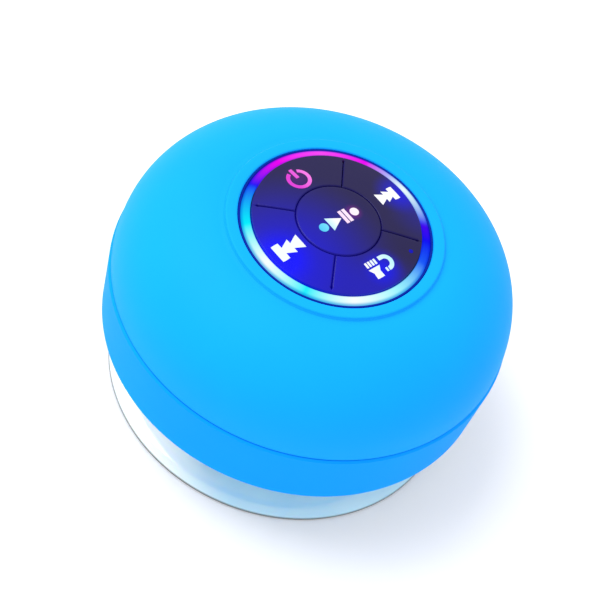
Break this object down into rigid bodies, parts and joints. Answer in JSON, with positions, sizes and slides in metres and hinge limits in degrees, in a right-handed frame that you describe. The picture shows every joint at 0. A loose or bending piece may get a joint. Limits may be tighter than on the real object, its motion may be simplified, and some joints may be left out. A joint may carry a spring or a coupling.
{
  "type": "shower speaker",
  "caption": "Round wireless shower speaker: silicone-skinned dome with keys inside a lit ring on top, and a large soft suction cup below.",
  "frame": {"origin": "centre of the suction cup's rim, on the surface that it rests on or holds to", "axes": "+Z out of the control panel, along the axis of the dome and cup; +Y towards the power key, which is up when the speaker hangs on a wall; +X towards the next-track key"},
  "size_m": [0.0864, 0.0864, 0.0549],
  "materials": {
    "blue_silicone": "matte moulded silicone",
    "pale_shell": "fine spark texture",
    "black_rubber": "matte",
    "steel": "zinc plated",
    "navy_gloss": "gloss",
    "light_guide": "milky, lit from below in changing colours",
    "key_gloss": "smoked gloss with clear icons",
    "black_plastic": "moulded",
    "circuit_board": "solder mask",
    "led_lens": "clear potting on white",
    "battery_wrap": "foil pouch",
    "foam": "open-cell foam",
    "ferrite": "ground ferrite",
    "cone_paper": "pressed fibre",
    "copper": "enamelled copper wire",
    "spider_cloth": "impregnated cloth",
    "wire_jacket": "flexible insulation",
    "milky_cup": "glossy milky soft vinyl"
  },
  "bodies": {
    "housing": {"silicone_dome_cover": "blue_silicone", "silicone_skirt": "blue_silicone", "upper_shell": "pale_shell", "lower_shell": "pale_shell", "shell_seal_ring": "black_rubber", "driver_gasket": "black_rubber", "usb_gasket": "black_rubber", "cone_surround": "black_rubber", "case_screws": "steel", "key_board_screws": "steel", "driver_screws": "steel", "main_board_screws": "steel", "driver_frame": "steel", "driver_front_plate": "steel", "driver_yoke": "steel", "usb_socket": "steel", "bezel_ring": "navy_gloss", "light_ring": "light_guide", "key_carrier": "black_plastic", "key_switches": "black_plastic", "key_board": "circuit_board", "main_board": "circuit_board", "ring_leds": "led_lens", "microphone": "steel", "board_parts": "black_plastic", "battery": "battery_wrap", "battery_pads": "foam", "driver_magnet": "ferrite", "spider": "spider_cloth", "sound_mesh": "spider_cloth", "battery_wires": "wire_jacket", "speaker_wires": "wire_jacket", "panel_wires": "wire_jacket"},
    "play_button": {"play_key": "key_gloss", "play_plunger": "black_plastic"},
    "next_button": {"next_key": "key_gloss", "next_plunger": "black_plastic"},
    "power_button": {"power_key": "key_gloss", "power_plunger": "black_plastic"},
    "previous_button": {"previous_key": "key_gloss", "previous_plunger": "black_plastic"},
    "phone_button": {"phone_key": "key_gloss", "phone_plunger": "black_plastic"},
    "speaker_diaphragm": {"speaker_cone": "cone_paper", "voice_coil": "copper", "dust_cap": "cone_paper"},
    "flap": {"port_flap": "blue_silicone"},
    "cup": {"suction_cup": "milky_cup"}
  },
  "joints": [
    {"name": "play_press", "type": "slide", "parent": "housing", "child": "play_button", "axis": [0, 0, -1], "range_m": [0, 0.0004], "stiffness_N_per_m": 1500, "springref_m": -0.0003},
    {"name": "next_press", "type": "slide", "parent": "housing", "child": "next_button", "axis": [0, 0, -1], "range_m": [0, 0.0004], "stiffness_N_per_m": 1500, "springref_m": -0.0003},
    {"name": "power_press", "type": "slide", "parent": "housing", "child": "power_button", "axis": [0, 0, -1], "range_m": [0, 0.0004], "stiffness_N_per_m": 1500, "springref_m": -0.0003},
    {"name": "previous_press", "type": "slide", "parent": "housing", "child": "previous_button", "axis": [0, 0, -1], "range_m": [0, 0.0004], "stiffness_N_per_m": 1500, "springref_m": -0.0003},
    {"name": "phone_press", "type": "slide", "parent": "housing", "child": "phone_button", "axis": [0, 0, -1], "range_m": [0, 0.0004], "stiffness_N_per_m": 1500, "springref_m": -0.0003},
    {"name": "cone_throw", "type": "slide", "parent": "housing", "child": "speaker_diaphragm", "axis": [0, 0, 1], "range_m": [-0.0006, 0.0006], "stiffness_N_per_m": 1200, "deforming": ["cone_surround", "spider"]},
    {"name": "flap_hinge", "type": "hinge", "parent": "housing", "child": "flap", "pos_m": [0, 0.04245, 0.0189], "axis": [-1, 0, 0], "range_deg": [0, 110]},
    {"name": "cup_swivel", "type": "hinge", "parent": "housing", "child": "cup", "pos_m": [0, 0, 0.016], "axis": [0, 0, 1], "continuous": true}
  ]
}
